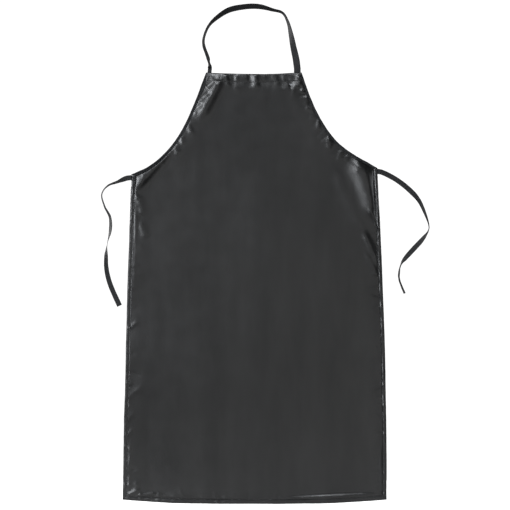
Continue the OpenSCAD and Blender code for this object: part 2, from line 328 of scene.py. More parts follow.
def apply_modifiers(obj):
    dg = bpy.context.evaluated_depsgraph_get()
    dg.update()
    mesh = bpy.data.meshes.new_from_object(obj.evaluated_get(dg), depsgraph=dg)
    old = obj.data
    obj.modifiers.clear()
    obj.data = mesh
    mesh.name = old.name
    bpy.data.meshes.remove(old)


def loft_faces(rows, around):
    """Faces of a tube of rows x around points, with flat ends."""
    faces = []
    for i in range(rows - 1):
        for k in range(around):
            a, b = i * around + k, i * around + (k + 1) % around
            faces.append((a, b, b + around, a + around))
    faces.append(tuple(range(around - 1, -1, -1)))
    faces.append(tuple((rows - 1) * around + k for k in range(around)))
    return faces


def joined(parts):
    """Several (vertices, faces) pairs as one."""
    verts, faces, total = [], [], 0
    for v, f in parts:
        verts.append(v)
        faces += [tuple(i + total for i in face) for face in f]
        total += len(v)
    return np.vstack(verts), faces


def part_of_panel(obj, node):
    """Puts a finished piece in the place of its CAD node, riding on the panel."""
    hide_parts(node)
    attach(obj, "apron")


# ---------- materials

def feed(tree, node, inputs):
    """Sets a shader node's inputs, each to a number, a colour or another node's output."""
    for key, value in inputs.items():
        if isinstance(value, bpy.types.NodeSocket):
            tree.links.new(value, node.inputs[key])
        else:
            node.inputs[key].default_value = value


def add(tree, kind, inputs, **settings):
    """A new shader node with its settings and inputs."""
    node = tree.nodes.new(kind)
    for key, value in settings.items():
        setattr(node, key, value)
    feed(tree, node, inputs)
    return node


def node_material(name):
    """A material with a surface shader, its node tree, and the shader."""
    mat = bpy.data.materials.new(name)
    mat.use_nodes = True
    tree = mat.node_tree
    tree.nodes.clear()
    bsdf = add(tree, "ShaderNodeBsdfPrincipled", {})
    add(tree, "ShaderNodeOutputMaterial", {"Surface": bsdf.outputs[0]})
    return mat, tree, bsdf


def place(tree):
    """Where on the object a point is, in metres."""
    return add(tree, "ShaderNodeTexCoord", {}).outputs["Object"]


def noise(tree, where, scale, detail=3, rough=0.55):
    inputs = {"Vector": where, "Scale": scale, "Detail": detail, "Roughness": rough}
    return add(tree, "ShaderNodeTexNoise", inputs).outputs["Fac"]


def ramp(tree, value, low, high, start=0.0, stop=1.0):
    """A value's range from start to stop stretched to low to high."""
    inputs = {"Value": value, "From Min": start, "From Max": stop, "To Min": low, "To Max": high}
    return add(tree, "ShaderNodeMapRange", inputs).outputs[0]


def mixed(tree, share, dark, light):
    inputs = {"Factor": share, "A": (*dark, 1), "B": (*light, 1)}
    return add(tree, "ShaderNodeMix", inputs, data_type="RGBA").outputs["Result"]


def worked_out(tree, operation, *values):
    return add(tree, "ShaderNodeMath", dict(enumerate(values)), operation=operation).outputs[0]


def bump(tree, height, distance, strength, under=None):
    """A bumpy normal, on top of another one if given."""
    inputs = {"Height": height, "Distance": distance, "Strength": strength}
    if under is not None:
        inputs["Normal"] = under
    return add(tree, "ShaderNodeBump", inputs).outputs[0]


def vinyl(name, dark, light, rough_low, rough_high, grain=1.0):
    """Coated sheet: a fine pebbled grain, faint handling marks and slow changes of gloss."""
    mat, tree, bsdf = node_material(name)
    where = place(tree)
    pebbles = add(tree, "ShaderNodeTexVoronoi", {"Vector": where, "Scale": 900}, feature="SMOOTH_F1")
    fine = bump(tree, pebbles.outputs["Distance"], 0.05 * MM, 0.03 * grain)
    creased = bump(tree, noise(tree, where, 90, 3, 0.4), 0.3 * MM, 0.05 * grain, fine)
    wavy = bump(tree, noise(tree, where, 18, 2, 0.4), 2.2 * MM, 0.22 * grain, creased)
    cloudy = ramp(tree, noise(tree, where, 9, 4), 0, 1, 0.35, 0.65)
    streaks = add(tree, "ShaderNodeMapping", {"Vector": where, "Scale": (1.0, 1.0, 0.22)})
    worn = noise(tree, streaks.outputs[0], 13, 4, 0.6)
    feed(tree, bsdf, {
        "Base Color": mixed(tree, cloudy, dark, light),
        "Roughness": ramp(tree, noise(tree, where, 26, 1, 0.4), rough_low, rough_high, 0.3, 0.7),
        "Normal": wavy,
        "Specular IOR Level": ramp(tree, worn, 0.44, 0.56, 0.3, 0.7),
    })
    return mat


def woven(name, dark, light, pitch, rough):
    """Woven cloth: threads of the given pitch crossing at right angles, with a slight fuzz."""
    mat, tree, bsdf = node_material(name)
    where = place(tree)
    split = add(tree, "ShaderNodeSeparateXYZ", {0: where})
    threads = []
    for axis in "XZ":
        phase = worked_out(tree, "MULTIPLY", split.outputs[axis], 2 * math.pi / pitch)
        threads.append(worked_out(tree, "SINE", phase))
    weave = worked_out(tree, "MULTIPLY", *threads)
    fuzz = noise(tree, where, 420, 4)
    shade = worked_out(tree, "MULTIPLY_ADD", weave, 0.22, fuzz)
    feed(tree, bsdf, {
        "Base Color": mixed(tree, ramp(tree, shade, 0, 1, 0.25, 0.8), dark, light),
        "Roughness": ramp(tree, fuzz, rough - 0.1, rough + 0.1),
        "Normal": bump(tree, fuzz, 0.2 * MM, 0.4, bump(tree, weave, 0.12 * MM, 0.5)),
        "Specular IOR Level": 0.26,
        "Sheen Weight": 0.02,
        "Sheen Roughness": 0.5,
    })
    return mat


VINYL = vinyl("coated_sheet", (0.0014, 0.00145, 0.0015), (0.0028, 0.0029, 0.0029), 0.31, 0.35)
BAND = vinyl("edge_band", (0.0014, 0.0015, 0.0016), (0.0030, 0.0031, 0.0033), 0.30, 0.34, 1.2)
LINING = woven("lining_cloth", (0.016, 0.017, 0.019), (0.042, 0.044, 0.048), 1.2 * MM, 0.58)
BINDING = woven("binding_cloth", (0.005, 0.0055, 0.006), (0.013, 0.0135, 0.0145), 0.8 * MM, 0.7)
TAPE = woven("strap_tape", (0.0042, 0.0046, 0.005), (0.012, 0.0125, 0.0135), 1.1 * MM, 0.62)
THREAD = woven("sewing_thread", (0.008, 0.009, 0.010), (0.030, 0.031, 0.034), 0.5 * MM, 0.6)
CORE = vinyl("lead_sheet", (0.13, 0.135, 0.14), (0.19, 0.195, 0.2), 0.55, 0.7)

# ---------- the panel's lie

def lie(points):
    """How far the whole panel stands towards the front at (x, z): the slow waves of a heavy sheet."""
    slow = waves(points, 0.62, 0.24, 11, 9)
    slanting = np.stack([points[:, 0] + 0.25 * points[:, 1], 0.35 * points[:, 1]], 1)
    steep = waves(slanting, 0.3, 0.11, 5, 10)
    flutter = waves(points, 0.16, 0.06, 21, 12) * fade(edge_depth(points).min(1), 0, 60 * MM)
    return (0.9 * slow + 0.45 * steep + 0.7 * flutter) * MM


def in_space(points, y):
    """Points (x, z) of the flat panel as (x, y, z)."""
    return np.stack([points[:, 0], np.broadcast_to(y, len(points)), points[:, 1]], 1)


def shifted(points3):
    """Points of the flat panel moved to how the panel lies."""
    moved = np.array(points3, float)
    moved[:, 1] -= lie(moved[:, [0, 2]])
    return moved


# ---------- covers: one simulated envelope

SIM_SCALE = 10  # the simulation runs at ten times the size, where it is steadier
SIM_FRAMES = 26
SIM_STEP, FINE_STEP, MIDDLE_STEP = 4.5 * MM, 2.4 * MM, 8 * MM
NEIGHBOURS = 24  # simulated points averaged for each point of the finer mesh
SOFT_MARGIN = 58 * MM  # how far in from the edge the mesh is fine
CORE_INSET = 25 * MM  # from the panel's edge to the shielding sheets
FLAT_FROM, FLAT_OVER = 34 * MM, 30 * MM  # where the simulated cover stops being loose, and over how far
SOFT_SEAM = 6 * MM  # how far past the sewing the cover starts to be loose
ROWS = np.array([e.row for e in edges])
WIDTHS = np.array([e.width for e in edges])


class Plan:
    """A flat triangle mesh of the cover, finer near its rim, with edges along the sewing and the core."""

    def __init__(self, step, middle_step):
        rim = inset_loop(lambda e: COVER_INSET, step)
        sewn = inset_loop(lambda e: e.row, step)
        core = inset_loop(lambda e: CORE_INSET, step)
        near, far = self.field(rim, step), self.field(rim, middle_step)
        near, far = near[inside_loop(near, rim)], far[inside_loop(far, rim)]
        depths = edge_depth(near)
        depth = depths.min(1)
        keep = (depth > COVER_INSET + 0.5 * step) & (np.abs((depths - ROWS).min(1)) > 0.55 * step)
        keep &= (np.abs(depth - CORE_INSET) > 0.55 * step) & (depth < SOFT_MARGIN)
        keep_far = edge_depth(far).min(1) > SOFT_MARGIN + 0.6 * middle_step
        parts = [rim, sewn, core, near[keep], far[keep_far]]
        starts = np.cumsum([0] + [len(part) for part in parts])
        links = []
        for start, part in zip(starts[:3], parts[:3]):
            links += [(start + i, start + (i + 1) % len(part)) for i in range(len(part))]
        flat = [Vector(point) for point in np.vstack(parts)]
        verts, _, faces, *_ = geometry.delaunay_2d_cdt(flat, links, [], 1, 1e-6)
        self.points = np.array([tuple(v) for v in verts])
        self.faces = [self.facing_front(f) for f in faces]
        self.depths = edge_depth(self.points)
        self.depth = self.depths.min(1)
        self.past_row = (self.depths - ROWS).min(1)
        self.past_band = (self.depths - WIDTHS).min(1)

    def field(self, rim, step):
        """Points on a slightly uneven triangular grid over the panel."""
        rng = np.random.default_rng(3)
        low, high = rim.min(0), rim.max(0)
        across = np.arange(low[0], high[0], step)
        rows = np.arange(low[1], high[1], step * math.sqrt(3) / 2)
        points = [(x + (i % 2) * step / 2, z) for i, z in enumerate(rows) for x in across]
        return np.array(points) + rng.uniform(-0.12, 0.12, (len(points), 2)) * step

    def facing_front(self, face):
        """The face wound so that its normal points to the front."""
        a, b, c = (self.points[i] for i in face)
        turn = (b[0] - a[0]) * (c[1] - a[1]) - (b[1] - a[1]) * (c[0] - a[0])
        return tuple(int(i) for i in (face if turn > 0 else reversed(face)))


# the coated sheet as cloth: fairly stiff, growing a little in its margin, blown up from inside
CLOTH = {
    "quality": 6,
    "mass": 0.25,
    "air_damping": 2,
    "tension_stiffness": 18,
    "compression_stiffness": 18,
    "shear_stiffness": 8,
    "bending_stiffness": 0.8,
    "tension_damping": 8,
    "compression_damping": 8,
    "vertex_group_mass": "held",
    "pin_stiffness": 1.0,
    "vertex_group_shrink": "full",
    "shrink_min": 0.0,
    "shrink_max": -0.06,
    "use_pressure": True,
    "uniform_pressure_force": 1.4,
}


def add_weights(obj, name, weights):
    """A vertex group with these weights, to two decimal places."""
    group = obj.vertex_groups.new(name=name)
    for level in np.unique(np.round(weights, 2)):
        group.add([int(i) for i in np.nonzero(np.round(weights, 2) == level)[0]], float(level), "REPLACE")


def simulated_envelope(plan):
    """Both covers blown up and crumpled between the sewing and the core, as offsets from the flat sheets."""
    flat, count = plan.points, len(plan.points)
    loose = rise(plan.past_row, 0, SOFT_SEAM) * fade(plan.depth, FLAT_FROM, FLAT_OVER)
    uneven_f, uneven_b = (waves(flat, 0.05, 0.014, seed, 24) * loose * 0.5 * MM for seed in (33, 34))
    front = in_space(flat, COVER_Y - uneven_f)
    back = in_space(flat, BACK_Y + uneven_b)
    faces = plan.faces + [tuple(i + count for i in reversed(f)) for f in plan.faces]
    sheet = new_mesh("envelope_sim", np.vstack([front, back]) * SIM_SCALE, faces, VINYL)
    add_weights(sheet, "held", np.tile(1 - loose, 2))
    add_weights(sheet, "full", np.tile(rise(plan.past_row, 0, 10 * MM) * (plan.depth < 60 * MM), 2))
    cloth = sheet.modifiers.new("cloth", "CLOTH")
    for key, value in CLOTH.items():
        setattr(cloth.settings, key, value)
    cloth.settings.effector_weights.gravity = 0
    cloth.collision_settings.use_collision = False
    cloth.collision_settings.use_self_collision = False
    scene = bpy.context.scene
    cloth.point_cache.frame_start, cloth.point_cache.frame_end = 1, SIM_FRAMES
    for number in range(1, SIM_FRAMES + 1):
        scene.frame_set(number)
    apply_modifiers(sheet)
    moved = coords(sheet) / SIM_SCALE
    scene.frame_set(1)
    bpy.data.objects.remove(sheet)
    front[:, 1], back[:, 1] = COVER_Y, BACK_Y
    return moved[:count] - front, moved[count:] - back


def carried(values, source, target):
    """Values at the source points, smoothly averaged at the target points."""
    tree = kdtree.KDTree(len(source))
    for i, (x, z) in enumerate(source):
        tree.insert((x, z, 0), i)
    tree.balance()
    out = np.zeros((len(target), values.shape[1]))
    for i, (x, z) in enumerate(target):
        found = tree.find_n((x, z, 0), NEIGHBOURS)
        reach = np.array([d for _, _, d in found])
        weight = np.exp(-(reach / (1.4 * SIM_STEP)) ** 2) + 1e-6
        out[i] = (values[[j for _, j, _ in found]] * weight[:, None]).sum(0) / weight.sum()
    return out


# ---------- covers: the folds the photo shows

def ridge(points, start, end, half_width, height, skew=0.0):
    """A soft fold along a line, fading out at both ends; skew steepens its flank on the left of the run."""
    start, end = np.asarray(start, float), np.asarray(end, float)
    run = end - start
    length = np.linalg.norm(run)
    t = run / length
    u = (points - start) @ t / length
    v = (points - start) @ left_of(t) / half_width
    v = v + skew * np.abs(v)
    return height * np.exp(-v**2) * rise(u, -0.25, 0.4) * fade(u, 0.75, 0.45)


def near(edge, share, depth):
    """A point of the panel at a share of an edge's length and a depth inside it."""
    return EDGE[edge].inside(share * EDGE[edge].length, depth)[0]


def fold(points, start, end, half_width, height, skew=0.0):
    """A fold given as in the lists below."""
    a, b = (near(name, share, depth * MM) for name, share, depth in (start, end))
    return ridge(points, a, b, half_width * MM, height * MM, skew)


# A fold runs between two places, each given as (edge, share of its length, mm inside it). Then come its
# half width and its height in mm, negative for a valley, and its skew if it has one.

# soft rolls inside both corners of the bib
BIB_FOLDS = (
    (("bib", 0.86, 20), ("arm_left", 0.33, 26), 15, 5.2, 0.15),
    (("arm_left", 0.10, 13), ("arm_left", 0.05, 24), 5.5, -1.3, 0.3),
    (("arm_left", 0.20, 10), ("arm_left", 0.13, 25), 6, -1.5, 0.3),
    (("arm_left", 0.285, 7), ("arm_left", 0.235, 18), 5.5, -1.2, 0.3),
    (("bib", 0.80, 4), ("bib", 0.76, 30), 5.5, 1.7),
    (("bib", 0.72, 2), ("bib", 0.69, 30), 6, -0.8),
    (("bib", 0.30, 3), ("bib", 0.25, 26), 6, 0.8),
    (("bib", 0.24, 3), ("bib", 0.19, 34), 7, -1.1),
    (("arm_right", 0.975, 8), ("arm_right", 0.90, 16), 6.5, 2.9, 0.2),
    (("arm_right", 0.915, 4), ("arm_right", 0.85, 11), 5.5, 2.2, 0.2),
    (("arm_right", 0.80, 5), ("arm_right", 0.75, 18), 6.5, 1.1),
    (("bib", 0.16, 12), ("bib", 0.10, 34), 6, -1.8),
)
# crumples where the sheet is pulled round the two armholes
ARMHOLE_FOLDS = (
    (("arm_left", 0.41, 8), ("arm_left", 0.46, 24), 6, 1.2),
    (("arm_left", 0.52, 7), ("arm_left", 0.56, 20), 6, 1.1),
    (("arm_left", 0.60, 6), ("arm_left", 0.64, 26), 7, 1.6),
    (("arm_right", 0.69, 6), ("arm_right", 0.73, 20), 6.5, 1.1),
    (("arm_right", 0.60, 5), ("arm_right", 0.54, 18), 5.5, 1.4),
    (("arm_right", 0.45, 8), ("arm_right", 0.38, 26), 7, 1.9),
    (("arm_right", 0.40, 7), ("arm_right", 0.46, 26), 6, 1.2),
    (("arm_right", 0.31, 12), ("arm_right", 0.28, 32), 6.5, 1.0),
    (("arm_right", 0.25, 12), ("arm_right", 0.235, 24), 6, 0.7),
)
# drags from the two waist corners, where the ties pull, and rolls down both sides
WAIST_FOLDS = (
    (("arm_left", 0.68, 4), ("side_left", 0.045, 10), 14, 5.6, 0.35),
    (("side_left", 0.05, 9), ("side_left", 0.075, 17), 5, 1.4),
    (("side_left", 0.12, 14), ("side_left", 0.20, 15), 4, 1.0),
    (("side_left", 0.21, 15), ("side_left", 0.34, 16), 3.4, 0.3),
    (("side_left", 0.07, 20), ("side_left", 0.12, 30), 8, 1.2),
    (("side_left", 0.15, 26), ("side_left", 0.19, 40), 9, 1.2),
    (("arm_right", 0.24, 60), ("side_right", 0.80, 40), 13, 2.0),
    (("side_right", 0.875, 22), ("side_right", 0.815, 4), 5, 1.6),
    (("side_right", 0.86, 13), ("side_right", 0.80, 3), 4, 1.1),
    (("side_right", 0.80, 36), ("side_right", 0.71, 8), 8, 2.6),
    (("side_right", 0.74, 34), ("side_right", 0.67, 10), 7, 1.8),
)
# soft rolls along the bottom hem near its two corners
HEM_FOLDS = (
    (("bottom", 0.64, 13), ("bottom", 0.975, 14), 5, 3.6),
    (("bottom", 0.22, 13), ("bottom", 0.44, 13), 4, 1.0),
    (("bottom", 0.025, 15), ("bottom", 0.06, 26), 4, 1.8),
    (("bottom", 0.06, 14), ("bottom", 0.12, 20), 4, 2.0),
    (("bottom", 0.10, 14), ("bottom", 0.24, 18), 7, 1.4),
    (("side_left", 0.84, 16), ("side_left", 0.97, 14), 5, 0.8),
    (("side_right", 0.03, 12), ("side_right", 0.15, 14), 5, 1.4),
)
# slack folds across the lining, from its corners
LINING_FOLDS = (
    (("side_left", 0.02, 20), ("side_left", 0.15, 130), 20, 2.4),
    (("side_left", 0.09, 14), ("side_left", 0.20, 80), 14, 1.6),
    (("side_right", 0.98, 20), ("side_right", 0.86, 140), 20, 2.4),
    (("bib", 0.12, 24), ("arm_right", 0.60, 70), 15, 2.0),
    (("bib", 0.88, 24), ("arm_left", 0.42, 60), 15, 2.0),
)


def bib_pucker(points):
    """The pucker under the middle of the bib: a crest with a valley to its left."""
    low, high = EDGE["bib"].line.min(0), EDGE["bib"].line.max(0)
    top, down = np.array([(high[0] + low[0]) / 2 - 1 * MM, high[1]]), np.array([0.0, -1.0])
    valley, crest = top - [8 * MM, 0], top + [6.5 * MM, 0]
    out = ridge(points, crest + 4 * MM * down, crest + 36 * MM * down, 9 * MM, 2.1 * MM, 0.15)
    return out - ridge(points, valley + 2 * MM * down, valley + 34 * MM * down, 8 * MM, 1.3 * MM)


def waist_drag(points, depth):
    """The broad roll that the right tie pulls up; it slopes away to the corner behind it."""
    roll = fold(points, ("arm_right", 0.15, 8), ("side_right", 0.86, 4), 25, 8.4, 0.1)
    return roll * (0.35 + 0.65 * rise(depth, 0, 24 * MM))


def folds(points):
    """How far the front cover's own folds stand forward."""
    out = bib_pucker(points)
    for line in BIB_FOLDS + ARMHOLE_FOLDS + WAIST_FOLDS + HEM_FOLDS:
        out += fold(points, *line)
    return out


# edge: how full the soft margin is at even steps along it
FULLNESS = {
    "side_left": (0.05, 0.1, 0.08, 0.12, 0.2, 0.2, 0.3),
    "bottom": (0.4, 0.35, 0.3, 0.3, 0.35, 0.4),
    "side_right": (0.35, 0.3, 0.3, 0.3, 0.3, 0.1),
    "arm_right": (0.1, 0.3, 0.35, 0.35, 0.35),
    "bib": (0.4,),
    "arm_left": (0.25, 0.3, 0.3, 0.2, 0.1),
}


def fullness(points):
    """The margin's fullness at each point, blended between the edges near it."""
    total, weights = np.zeros(len(points)), np.zeros(len(points))
    depths = edge_depth(points)
    for number, e in enumerate(edges):
        weight = np.exp(-(depths[:, number] - depths.min(1)) / (12 * MM))
        near_it = weight > 0.01
        gap = np.linalg.norm(points[near_it][:, None] - e.line[None, ::4], axis=2)
        share = e.run[::4][gap.argmin(1)] / e.length
        steps = FULLNESS[e.name]
        total[near_it] += weight[near_it] * np.interp(share, np.linspace(0, 1, len(steps)), steps)
        weights[near_it] += weight[near_it]
    return total / weights


# edge: typical spacing of its seam puckers, their height, and a share of the edge's length where they grow
PUCKERS = {
    "side_left": (26 * MM, 0.5 * MM, 1.0),
    "bottom": (30 * MM, 0.5 * MM, 0.0),
    "side_right": (26 * MM, 0.6 * MM, 0.0),
    "arm_right": (17 * MM, 0.4 * MM, 0.7),
    "bib": (15 * MM, 0.4 * MM, 0.0),
    "arm_left": (20 * MM, 0.35 * MM, 0.0),
}


def pucker_lines():
    """Short random creases that start at the sewing and run inwards, as (start, end, half width, height)."""
    lines = []
    for number, (name, (spacing, height, strong)) in enumerate(PUCKERS.items()):
        rng = np.random.default_rng(200 + number)
        e = EDGE[name]
        s = 8 * MM
        while s < e.length - 8 * MM:
            grow = 1 + 0.8 * math.exp(-(abs(s / e.length - strong) / 0.18) ** 2)
            lean = rng.normal(0, 0.5)
            reach = rng.uniform(8, 30) * MM * math.sqrt(grow)
            start = e.inside(s, rng.uniform(1, 6) * MM)[0]
            end = e.inside(s + lean * reach, e.row + reach)[0]
            sign = 1 if rng.random() < 0.72 else -0.7
            half_width = rng.uniform(4.0, 6.6) * MM
            lines.append((start, end, half_width, sign * height * grow * rng.uniform(0.4, 1.3)))
            s += spacing * rng.uniform(0.5, 1.5)
    return lines


CREASES = pucker_lines()


def relief(points):
    """How far the front stands forward of its swell, on the cover and on the bands; sewing holds it down."""
    out = folds(points)
    for start, end, half_width, height in CREASES:
        reach = 4 * half_width + 10 * MM
        close = ((points > np.minimum(start, end) - reach) & (points < np.maximum(start, end) + reach)).all(1)
        if close.any():
            out[close] += ridge(points[close], start, end, half_width, height)
    depths = edge_depth(points)
    out += waist_drag(points, depths.min(1))
    past = np.abs(depths - ROWS)
    hold = np.array([0.65 * HELD[name] for name in NAMES])[past.argmin(1)]
    held = 1 - hold * np.exp(-(past.min(1) / (2.0 * MM)) ** 2)
    return out * held * (0.25 + 0.75 * rise(depths.min(1), 0, 3 * MM))


def closed_sheet(name, front, back, faces, material):
    """A thin closed solid between two like-numbered surfaces."""
    count = len(front)
    used = {}
    for face in faces:
        for a, b in zip(face, face[1:] + face[:1]):
            used[(a, b)] = used.get((a, b), 0) + 1
    rim = [(a, b) for a, b in used if (b, a) not in used]
    skin = [tuple(f) for f in faces] + [tuple(i + count for i in reversed(f)) for f in faces]
    skin += [(b, a, a + count, b + count) for a, b in rim]
    return new_mesh(name, np.vstack([front, back]), skin, material)


def back_relief(plan):
    """The lining's own shallow creases, and the slack folds across its middle."""
    points = plan.points
    loose = rise(plan.past_band, 0, SOFT_SEAM)
    crumple = waves(points, 0.05, 0.014, 61, 26) * (1 - 0.7 * rise(plan.depth, 30 * MM, 60 * MM))
    slack = waves(points * [1.0, 0.4], 0.22, 0.07, 62, 14)
    drags = sum(fold(points, *line) for line in LINING_FOLDS)
    return ((0.45 * np.abs(crumple) + 1.5 * np.abs(slack)) * MM + drags) * loose


def swell_of(plan):
    """How the two covers stand off the flat: simulated on a coarser plan, then carried to this one."""
    coarse = Plan(SIM_STEP, 1.3 * MIDDLE_STEP)
    front, back = simulated_envelope(coarse)
    return carried(front, coarse.points, plan.points), carried(back, coarse.points, plan.points)


def front_cover(plan, swell):
    """The front cover: simulated swell, folds and puckers."""
    front = in_space(plan.points, COVER_Y) + swell
    front[:, 1] -= relief(plan.points)
    front = shifted(front)
    cover = closed_sheet("front_cover_sheet", front, front + [0, COVER_T, 0], plan.faces, VINYL)
    part_of_panel(cover, "front_cover")


def lining(plan, swell):
    """The back cover: tucked under the bands, swollen and slack between them."""
    tucked = SHEET_T + 0.05 * MM
    rear = in_space(plan.points, BACK_Y - tucked * fade(plan.past_band, 0, 4 * MM))
    rear += swell * [1, BACK_SWELL, 1]
    rear[:, 1] += back_relief(plan)
    rear = shifted(rear)
    sheet = closed_sheet("back_cover_sheet", rear - [0, SHEET_T, 0], rear, plan.faces, LINING)
    part_of_panel(sheet, "back_cover")


def shielding(plan):
    """The two lead-loaded sheets, lying as the panel lies."""
    inner = [f for f in plan.faces if min(plan.depth[list(f)]) > CORE_INSET - 0.2 * MM]
    used = sorted({i for f in inner for i in f})
    index = {old: new for new, old in enumerate(used)}
    inner = [tuple(index[i] for i in f) for f in inner]
    for node in ("core_sheet_front", "core_sheet_rear"):
        front, back = (shifted(in_space(plan.points[used], corner.y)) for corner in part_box(node))
        sheet = closed_sheet(node + "_vinyl", front, back, inner, CORE)
        part_of_panel(sheet, node)


def covers_and_core():
    """The two covers, swollen round the edge, and the shielding sheets inside them."""
    plan = Plan(FINE_STEP, MIDDLE_STEP)
    full = fullness(plan.points)[:, None]
    swell_front, swell_back = swell_of(plan)
    front_cover(plan, swell_front * full)
    lining(plan, swell_back * full)
    shielding(plan)


# ---------- edge bands

def band_profile(e):
    """Points round a folded band's section: (depth inside the edge, distance behind its middle)."""
    past_fold = e.row - 3.2 * MM
    count = 2 + int((past_fold - RADIUS) / (2.4 * MM))
    leg = [e.width, e.width - 0.3 * MM, e.row + 0.8 * MM, e.row, e.row - 0.9 * MM, e.row - 2 * MM]
    leg += list(np.linspace(past_fold, RADIUS + 0.4 * MM, count))
    turn = np.linspace(0, math.pi, 7)
    inner = RADIUS - SHEET_T
    ring = [(d, -RADIUS) for d in leg]
    ring += [(RADIUS * (1 - math.sin(a)), -RADIUS * math.cos(a)) for a in turn]
    ring += [(d, RADIUS) for d in reversed(leg)]
    ring += [(d, inner) for d in leg]
    ring += [(RADIUS - inner * math.sin(a), inner * math.cos(a)) for a in turn]
    ring += [(d, -inner) for d in reversed(leg)]
    return ring


def widening(e, share):
    """How much wider the band is at each share of its edge: the left binding spreads at the bib's corner."""
    extra = SPREAD if e.name == "arm_left" else 0.0
    return 1 + extra * fade(share, 0.03, 0.17)


def band(e, material):
    """A folded band round one edge of the panel, pulled in at its sewing and slightly puckered."""
    profile = band_profile(e)
    rows = int(e.length / BAND_STEP)
    share = np.linspace(0, 1, rows)
    inner = RADIUS - SHEET_T
    verts = np.zeros((rows, len(profile), 3))
    seed = 50 + NAMES.index(e.name)
    for k, (depth, y) in enumerate(profile):
        d = RADIUS + (depth - RADIUS) * np.where(depth > RADIUS, widening(e, share), 1.0)
        s = e.span(share, d)
        loose = rise(np.minimum(s, e.length - s), 1 * MM, 9 * MM)
        crumple = strip_waves(s, 0.45 * depth + (0.5 if y > 0 else 0.0), 0.045, 0.009, seed, 26)
        drift = strip_waves(s, 0.0, 0.3, 0.05, seed + 9, 8)
        ribs = strip_waves(s, 0.15 * depth, 0.006, 0.0032, seed + 3, 22)
        swell = math.sin(math.pi * np.clip((depth - 0.3 * RADIUS) / (e.row - 0.3 * RADIUS), 0, 1))
        at_row = math.exp(-((depth - e.row) / (0.9 * MM)) ** 2)
        stitch = 0.5 - 0.5 * np.cos(2 * math.pi * s / STITCH_PITCH[e.name])
        lift = PUFF[e.name] * swell * (1 + 0.9 * crumple * loose)
        lift -= HELD[e.name] * (0.2 + 0.25 * stitch) * MM * at_row
        lift += RIBS[e.name] * ribs * swell * loose
        lift += LIP[e.name] * rise(depth, e.row, e.width - e.row)
        p = e.inside(s, d + (0.35 * drift + 0.12 * crumple) * MM * loose)
        verts[:, k] = in_space(p, MID_Y + y + np.clip(y / inner, -1, 1) * lift)
    flat = verts.reshape(-1, 3)
    in_front = np.clip((MID_Y - flat[:, 1]) / inner, 0, 1)
    flat[:, 1] -= relief(flat[:, [0, 2]]) * in_front
    faces = [tuple(reversed(f)) for f in loft_faces(rows, len(profile))]
    obj = new_mesh(e.band_node + "_sheet", shifted(flat), faces, material)
    part_of_panel(obj, e.band_node)


# ---------- sewing

# along a stitch: share of its length, share of its thickness, share of its rise
STATIONS = ((0.0, 0.35, -0.75), (0.16, 0.85, -0.1), (0.5, 1.0, 0.25), (0.84, 0.85, -0.1), (1.0, 0.35, -0.75))


def stitches(starts, ends, normals, width, high):
    """Vertices and faces of many small stitches, each a rounded thread that dips in at both ends."""
    starts, ends, normals = (np.asarray(v, float) for v in (starts, ends, normals))
    along = ends - starts
    along /= np.linalg.norm(along, axis=1)[:, None]
    across = np.cross(normals, along)
    turn = np.linspace(0, 2 * math.pi, 6, endpoint=False)
    parts = []
    for share, size, height in STATIONS:
        centre = starts + (ends - starts) * share + normals * height * high
        for a in turn:
            parts.append(centre + (across * math.cos(a) * width / 2 + normals * math.sin(a) * high) * size)
    verts = np.stack(parts, 1)
    template = loft_faces(len(STATIONS), len(turn))
    size = verts.shape[1]
    faces = [tuple(i + n * size for i in f) for n in range(len(verts)) for f in template]
    return verts.reshape(-1, 3), faces


def panel_stitches(p0, p1, front_y):
    """Stitches between points (x, z) of the panel, on its front and on its back."""
    parts = []
    for y, normal in ((front_y, -1.0), (BACK_Y, 1.0)):
        a, b = (shifted(in_space(p, y - (relief(p) if normal < 0 else 0))) for p in (p0, p1))
        parts.append(stitches(a, b, np.tile([0.0, normal, 0.0], (len(a), 1)), THREAD_W, THREAD_H))
    return joined(parts)


def sewn_row(e):
    """The row of stitches along one edge, on the front and on the back."""
    pitch = STITCH_PITCH[e.name]
    low, high = e.span(0.0, e.row), e.span(1.0, e.row)
    count = int((high - low) / pitch)
    begin = low + 0.5 * (high - low - count * pitch)
    s0 = begin + pitch * np.arange(count) + 0.12 * pitch
    s1 = s0 + 0.76 * pitch
    rng = np.random.default_rng(70 + NAMES.index(e.name))
    wander = rng.normal(0, 0.12 * MM, count)
    drift = strip_waves(s0, 0.0, 0.3, 0.05, 59 + NAMES.index(e.name), 8) * 0.35 * MM
    row = e.row * widening(e, s0 / e.length)
    p0, p1 = (e.inside(s, row + wander + drift) for s in (s0, s1))
    obj = new_mesh(e.thread_node + "_stitches", *panel_stitches(p0, p1, FRONT_Y), THREAD)
    part_of_panel(obj, e.thread_node)


def box_stitch(node):
    """A sewn box with a cross in it, on the front and the back of the hem where a tape goes in."""
    low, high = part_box(node)
    corners = [np.array(c) for c in ((low.x, low.z), (high.x, low.z), (high.x, high.z), (low.x, high.z))]
    starts, ends = [], []
    for first, second in ((0, 1), (1, 2), (2, 3), (3, 0), (0, 2), (3, 1)):
        start, step = corners[first], corners[second] - corners[first]
        count = max(2, int(round(np.linalg.norm(step) / BOX_PITCH)))
        for n in range(count):
            starts.append(start + step * (n + 0.1) / count)
            ends.append(start + step * (n + 0.9) / count)
    sewn = panel_stitches(np.array(starts), np.array(ends), low.y + THREAD_H)
    part_of_panel(new_mesh(node + "_thread", *sewn, THREAD), node)


# ---------- tapes

